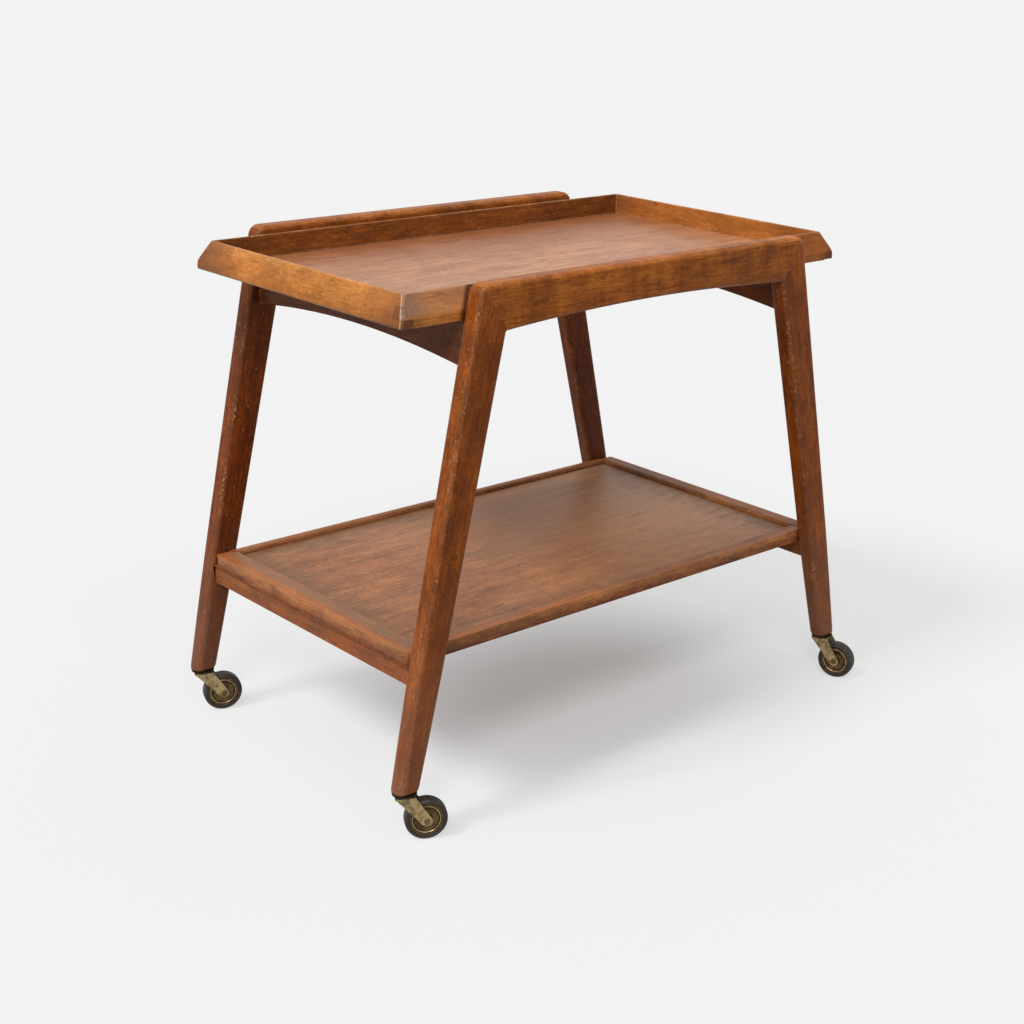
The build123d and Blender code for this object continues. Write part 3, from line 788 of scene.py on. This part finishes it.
def dressed_wall(nodes, colour):
    """Lay on a tray wall what its joints show: stain, end grain, seams, glue and dust, with painted
    shade, shadow, sheen and glints.

    All of it goes by where the point lies in the tray.
    """
    here = object_place(nodes)
    x, y, z = split(nodes, here)
    at_right, at_back = x.between(0.05, 0.3), y.between(0.02, 0.2)
    at_left = 1 - at_right
    x, y, z = abs(x), abs(y), z - tray_bottom
    from_end = tray_half_length - x
    facet, outside = attribute(nodes, "facet"), attribute(nodes, "outside")
    facet_above = facet * z.between(strip_height, strip_height + 0.003)
    inside, ends = 1 - outside, outside * (1 - facet)
    soft = noise(nodes, here, (60, 60, 60), detail=3.0, roughness=0.6)
    grit = noise(nodes, here, (700, 700, 700), roughness=0.7)
    ragged = (soft - 0.5) * 0.03

    # The long faces: painted shade where the legs cover them, stained, with a painted sheen and painted
    # glints at the left corners, and painted shade at the right.
    past_leg = x + z * leg_run + (tray_half_depth - y) * 0.85 - leg_outer(tray_bottom)
    covered = (1 - past_leg.between(-0.002, 0.003)) * facet
    # painted shade where the legs cover the wall
    colour = blend(nodes, covered * 0.3, colour, end_grain_and_painted_shade)
    stain = 1 - (from_end + ragged).between(0.008, 0.056)
    patchy = soft.between(0.3, 0.6) * 0.35 + 0.6
    colour = blend(nodes, stain * facet_above * at_left * patchy, colour, stain_shade)
    # a painted sheen on the leaning facet near the left corners
    colour = blend(nodes, facet_above * at_left * 0.3, colour, facet_painted_sheen)
    # painted shade on the right end of the long faces
    colour = blend(nodes, facet * at_right * 0.62, colour, right_end_painted_shade)
    right_end_shade_mask = 1 - (from_end + ragged).between(0.0, 0.03)
    colour = blend(nodes, facet * at_right * right_end_shade_mask * 0.5, colour, end_grain_and_painted_shade)
    # painted glints: pale highlight flecks near the left corners
    painted_glints = noise(nodes, here, (260, 260, 420), detail=3.0, roughness=0.7).between(0.55, 0.7)
    low_down = 1 - z.between(strip_height, tray_height) * 0.8
    near_end = 1 - from_end.between(0.006, 0.03)
    painted_glints = painted_glints * near_end * facet_above * at_left * low_down
    colour = blend(nodes, painted_glints * 0.6, colour, arris_wear_and_highlight)

    # The joint in their lower strip: end grain, then a fainter shadow of glue beyond it.
    in_strip = 1 - z.between(strip_height - 0.0004, strip_height + 0.0004)
    first = 1 - from_end.between(wall_thickness - 0.0004, wall_thickness + 0.0004)
    glued = 1.75 * wall_thickness
    second = 1 - from_end.between(glued - 0.001, glued + 0.001)
    colour = blend(nodes, in_strip * facet * (first * 0.5 + second * 0.22), colour, end_grain_and_painted_shade)

    # The end boards: darker towards their ends, and dusty in streaks.
    end_board_darker = 1 - (tray_half_depth - y + ragged).between(-0.005, 0.1)
    colour = blend(nodes, end_board_darker * ends * 0.75, colour, end_board_dark_shade)
    speckle = noise(nodes, here, (90, 260, 330), detail=3.0, roughness=0.65).between(0.6, 0.72)
    colour = blend(nodes, speckle * ends * 0.22, colour, dust_shade)

    # The corners' arrises, rubbed pale and with a painted highlight.
    arris = attribute(nodes, "arris") * grit.between(0.3, 0.55)
    second_arris = 1 - abs(from_end - second_arris_place).between(0.0003, 0.0009)
    arris = arris.larger(second_arris * facet_above * grit.between(0.36, 0.6) * 0.8)
    colour = blend(nodes, arris * 0.8, colour, arris_wear_and_highlight)

    # The inside, darker, with painted shade inside the end walls at the back, glue in its corners and
    # dust along the panel.
    into_corner = (tray_inner_depth - y).larger(tray_inner_length - x)
    glue = (1 - into_corner.between(0.0003, 0.0022)) * grit.between(0.4, 0.62)
    dust = (1 - (z - panel_top).between(0.0002, 0.0022)) * grit.between(0.46, 0.66)
    colour = blend(nodes, inside * 0.2, colour, inside_shade)
    end_wall = 1 - from_end.between(wall_thickness + 0.0002, wall_thickness + 0.002)
    # painted shade inside the end walls' back halves
    colour = blend(nodes, inside * end_wall * at_back * 0.4, colour, end_grain_and_painted_shade)
    colour = blend(nodes, glue.larger(dust * 0.8) * inside * 0.75, colour, dust_shade)

    # The seams of the joints, and a painted shadow beside each leg.
    # a painted shadow beside each leg
    leg_shadow_band = (1 - abs(past_leg + 0.005).between(0.004, 0.011)) * facet
    seam = attribute(nodes, "seam")
    return blend(nodes, (seam * 0.7).larger(leg_shadow_band * 0.8), colour, seam_and_leg_shadow)


wall_teak = teak("wall_teak", paint(112, 52, 16), paint(192, 115, 45), paint(228, 154, 80),
                 paint(242, 204, 160), toned=True, dress=dressed_wall, gloss=0.38, polish=0.15,
                 contrast=0.72, blotches=1.1, wear=1.6, lines=0.9)


def tray_wall(node, rows, attributes, caps, turn):
    """A tray wall from its rows, whose loops are turned round where its faces would look in."""
    if turn:
        rows = rows[:, ::-1]
        attributes = {key: value[:, ::-1] for key, value in attributes.items()}
    piece = skin(node + "_shaped", rows, attributes, caps)
    piece.data.materials.append(wall_teak)
    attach(piece, "tray")
    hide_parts(node)


def wall_loop(levels, bottom_radius, softness):
    """A wall's section as one loop, up its outer face and down its inner one.

    Gives its heights, in the cart and above the tray's underside, how far in it lies, 1 on the
    outer face, and how worn its top is.
    """
    outer, inner = wall_section(levels, bottom_radius, softness)
    heights = np.concatenate([levels, levels[::-1]]) + tray_bottom
    above_bottom = heights - tray_bottom
    inset = np.concatenate([outer, inner[::-1]])
    outside = np.concatenate([np.ones(len(levels)), np.zeros(len(levels))])
    top_wear = np.exp(-((tray_height - above_bottom) / 0.0012) ** 2)
    return heights, above_bottom, inset, outside, top_wear


# The long walls run between the insides of the end walls.
levels = wall_levels(wall_bottom_radius)
heights, above_bottom, inset, outside, top_wear = wall_loop(levels, wall_bottom_radius,
                                                            wall_arris_softness)
low_wear = outside * np.exp(-(above_bottom / 0.0012) ** 2)
arris_wear = 0.5 * outside * np.exp(-((above_bottom - strip_height) / 0.0009) ** 2)
along = np.linspace(-tray_inner_length, tray_inner_length, 90)[:, None]
for seed, (name, side) in enumerate({"front": -1, "back": 1}.items()):
    rows = np.stack([along + 0 * inset, side * (tray_half_depth - inset) + 0 * along,
                     heights + 0 * along], axis=-1)
    shape = np.zeros(rows.shape[:2])
    tone = outside * np.where(above_bottom < strip_height, 0.12, 0.04)
    tone = tone - (1 - outside) * 0.26 + shape
    attributes = {"board": grain_place(rows, (1, 0, 0), seed + 71), "outside": outside + shape,
                  "edge": top_wear + low_wear + arris_wear + shape, "end": shape, "seam": shape,
                  "facet": outside + shape, "tone": tone, "arris": shape}
    tray_wall("tray_%s_wall" % name, rows, attributes, None, side > 0)

# The end walls run from outside to outside, so their ends follow the long walls' faces. Their own
# edges are softer, and grow rounder towards the cut faces.
end_levels = wall_levels(end_bottom_radius)
long_in, _ = wall_section(end_levels, wall_bottom_radius, wall_arris_softness)
heights, above_bottom, inset, outside, top_wear = wall_loop(end_levels, end_bottom_radius,
                                                            end_arris_softness)
end_face = tray_half_depth - np.concatenate([long_in, long_in[::-1]])
from_face = wall_corner_radius * (1 - np.cos(np.linspace(0, pi / 2, 9)))
inside_y = np.linspace(0, tray_inner_depth - 2 * seam_half_width, 30)[:, None] + 0 * inset
seam_y = (tray_inner_depth + seam_half_width * np.array((-1, 0, 1)))[:, None] + 0 * inset
share = np.linspace(0, 1, 8)[1:, None]
last_y = end_face - wall_corner_radius
corner_y = seam_y[-1] * (1 - share) + last_y * share
face_y = end_face - from_face[-2::-1, None]
half_y = np.concatenate([inside_y, seam_y, corner_y, face_y])
whole_y = np.concatenate([-half_y[:0:-1], half_y])
half_turn = np.concatenate([np.zeros(len(half_y) - len(face_y)),
                            shoulder(from_face[-2::-1], wall_corner_radius)])
turned_in = np.concatenate([half_turn[:0:-1], half_turn])[:, None]
in_corner = np.abs(whole_y) > tray_inner_depth
in_finger = (above_bottom > strip_height) & (above_bottom < finger_top) & (outside > 0)
start_line = np.exp(-((turned_in / wall_corner_radius - 0.08) / 0.08) ** 2) * (turned_in > 0)
end_line = np.exp(-((turned_in / wall_corner_radius - 1.0) / 0.25) ** 2)
line_y = np.exp(-((np.abs(whole_y) - tray_inner_depth) / 0.0002) ** 2) * in_finger
line_z = sum(np.exp(-((above_bottom - at) / 0.0002) ** 2) for at in (strip_height, finger_top))
for side, name in ((-1, "left"), (1, "right")):
    x = side * (tray_half_length - inset - turned_in * outside)
    z = np.clip(heights + 0 * x, tray_bottom + turned_in * 0.8, tray_top - turned_in * 0.8)
    rows = np.stack([x, whole_y, z], axis=-1)
    shape = np.zeros(rows.shape[:2])
    near = np.where(whole_y < 0, 0.85, 0.3)
    attributes = {"board": grain_place(rows, (0, 1, 0), side + 73), "outside": outside + shape,
                  "edge": top_wear + shape, "arris": (start_line + 0.3 * end_line) * outside,
                  "end": in_corner * in_finger * near,
                  "facet": outside * np.clip(3 * turned_in / wall_corner_radius - 0.3, 0, 1),
                  "seam": (line_y + line_z * in_corner * outside) * (whole_y < 0),
                  "tone": shape + outside * (0.04 + 0.12 * above_bottom / tray_height)}
    caps = {"board": np.stack([grain_place(row, (1, 0, 0), seed + 71)
                               for seed, row in enumerate(rows[[0, -1]])]),
            "facet": 1.0, "edge": 0.0, "end": 0.0, "seam": 0.0, "tone": 0.04, "outside": 1.0,
            "arris": 0.0}
    if side < 0:
        caps["board"] = caps["board"][:, ::-1]
    tray_wall("tray_%s_end" % name, rows, attributes, caps, side < 0)


def dressed_panel(nodes, colour):
    """Paint shade on the tray's panel, darker towards its back."""
    return painted_light_and_stains(nodes, colour, (-0.02, -0.06, 0), (0.01, 0.24, 0), paint(130, 66, 24), 0.72,
                 paint(146, 92, 62), 0.24)


tray_veneer = teak("tray_veneer", paint(134, 82, 54), paint(196, 137, 98), paint(217, 163, 122),
                   paint(226, 186, 156), place=in_place(62), dress=dressed_panel, gloss=0.36,
                   polish=0.26, contrast=1.2, blotches=0.5, lines=0.85)
frame["nodes"]["tray_panel"].material_slots[0].material = tray_veneer
for name in ("tray_left_cleat", "tray_right_cleat", "corner_dowels"):
    frame["nodes"][name].material_slots[0].material = rail_teak


# ------------------------
# Casters. A socket in each foot holds a stem with a round plate; below a thrust washer hangs a fork
# bent from brass-plated sheet, and a pressed hub in a hard rubber tyre turns on a riveted axle.
# The plating has gone brown and olive and rubs bright where it stands proud; the hub's crest
# also carries a painted highlight.

hub_crest, highlight_reach = 0.0161, 0.0004


def turned(node, body, profile, centre, axis, finish, around=96, polished=()):
    """A closed profile of radii and heights carried round an axis through a centre.

    It is polished, with a painted highlight, at the given radii.
    """
    axis = unit(np.array(axis, float))
    side = unit(np.cross(axis, (0, 0, 1) if abs(axis[2]) < 0.5 else (1, 0, 0)))
    ahead = np.cross(axis, side)
    angle = np.linspace(0, 2 * pi, around, endpoint=False)[:, None, None]
    radius, height = profile[:, 0, None], profile[:, 1, None]
    points = centre + radius * (np.cos(angle) * side + np.sin(angle) * ahead) + height * axis
    count = len(profile)
    index = np.arange(around * count).reshape(around, count)
    ring, down = np.roll(index, -1, axis=0), np.roll(index, -1, axis=1)
    faces = np.stack([index, ring, np.roll(ring, -1, axis=1), down], axis=-1).reshape(-1, 4)
    shine = 0 * profile[:, 0]
    for at in polished:
        shine = shine + np.exp(-((profile[:, 0] - at) / highlight_reach) ** 2)
    piece = mesh_piece(node + "_shaped", points.reshape(-1, 3), faces,
                       {"polished": np.tile(shine, around)[:, None]}, 50)
    piece.data.materials.append(finish)
    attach(piece, body)
    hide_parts(node)


def metal(name, bright, dull, dark, gloss, patina, polished=False):
    """Old plated metal: dull all over, browner in clouds and spots, bright where it is rubbed."""
    made, nodes = new_material(name)
    here = object_place(nodes)
    cloud = noise(nodes, here, (130, 130, 130), detail=4.0, roughness=0.6)
    speck = noise(nodes, here, (620, 620, 620), detail=3.0, roughness=0.7)
    brown = (cloud * 0.6 + speck * 0.4).between(0.42, 0.6)
    colour = blend(nodes, brown * patina, dull, dark)
    rubbed = speck.between(0.58, 0.7) * (1 - brown)
    colour = blend(nodes, rubbed * 0.4, colour, bright)
    if polished:
        # the polished rings, brightened as a painted highlight
        gleam = attribute(nodes, "polished") * (1 - brown * 0.6)
        colour = blend(nodes, gleam * 0.9, colour, bright)
    rough = brown * 0.25 + speck * 0.12 + gloss
    show(nodes, colour, rough, speck, 0.3, 0.0002, {"Metallic": 1.0 - brown * 0.35})
    return made


def rubber(name, face, dust):
    """Hard old rubber: matt, with dust and fine wear ground into it."""
    made, nodes = new_material(name)
    here = object_place(nodes)
    cloud = noise(nodes, here, (90, 90, 90), detail=3.0)
    speck = noise(nodes, here, (900, 900, 900))
    dusty = cloud.between(0.4, 0.7) * 0.45 + speck.between(0.5, 0.75) * 0.3
    show(nodes, blend(nodes, dusty, face, dust), cloud * 0.25 + 0.42, speck, 0.4, 0.0002,
         {"Specular IOR Level": 0.35})
    return made


fork_brass = metal("fork_brass", paint(216, 196, 146), paint(172, 152, 110),
                   paint(92, 74, 48), 0.45, 0.7)
hub_brass = metal("hub_brass", paint(240, 214, 160), paint(98, 77, 50), paint(56, 43, 28),
                  0.3, 0.85, polished=True)
axle_steel = metal("axle_steel", paint(150, 134, 98), paint(108, 94, 66), paint(62, 52, 36),
                   0.4, 0.8)
dark_steel = metal("dark_steel", paint(120, 104, 76), paint(70, 58, 42), paint(32, 25, 18),
                   0.4, 0.8)
screw_steel = metal("screw_steel", paint(190, 188, 182), paint(150, 146, 140),
                    paint(84, 74, 64), 0.3, 0.5)
tyre_rubber = rubber("tyre_rubber", paint(40, 34, 29), paint(80, 71, 60))


def both_sides(half):
    """A closed profile from its points on one side of the middle, in millimetres."""
    half = np.array(half) / 1000
    return np.concatenate([half, half[::-1] * (1, -1)])


shoulder_turn = np.linspace(pi / 2, 0, 9)
shoulder_arc = np.stack([21 + 4 * np.cos(shoulder_turn), 4.5 + 4 * np.sin(shoulder_turn)], axis=1)
tyre_profile = both_sides([
    (20, 0.5), (20, 7.1), (20.15, 7.5), (20.5, 8.3), *shoulder_arc, (25, 1.5)])
hub_profile = both_sides([
    (2.55, 0.5), (2.55, 9.1), (5.9, 9.1), (6.4, 8.7), (6.5, 8.1), (6.7, 5.4), (7.4, 4.5),
    (9.0, 4.1), (11.4, 4.0), (13.4, 4.1), (14.3, 4.5), (14.9, 5.2), (15.3, 6.0), (15.7, 6.7),
    (16.1, 7.0), (16.5, 6.9), (17.0, 6.5), (18.4, 6.3), (19.0, 6.4), (19.4, 6.7), (19.75, 6.7),
    (19.98, 6.4), (19.98, 1.5)])
joints = {joint["name"]: joint for joint in frame["joints"]}
for corner in corners:
    spin = joints[corner + "_wheel_spin"]
    centre, axis = np.array(spin["pos_m"]), spin["axis"]
    body = corner + "_wheel"
    turned(body + "_tyre", body, tyre_profile, centre, axis, tyre_rubber)
    turned(body + "_hub", body, hub_profile, centre, axis, hub_brass,
           polished=(hub_crest,))
    for piece, finish in (("caster_fork", fork_brass), ("caster_axle", axle_steel),
                          ("caster_stem", dark_steel), ("swivel_washer", dark_steel),
                          ("caster_socket", dark_steel)):
        frame["nodes"][corner + "_" + piece].material_slots[0].material = finish
frame["nodes"]["shelf_screws"].material_slots[0].material = screw_steel
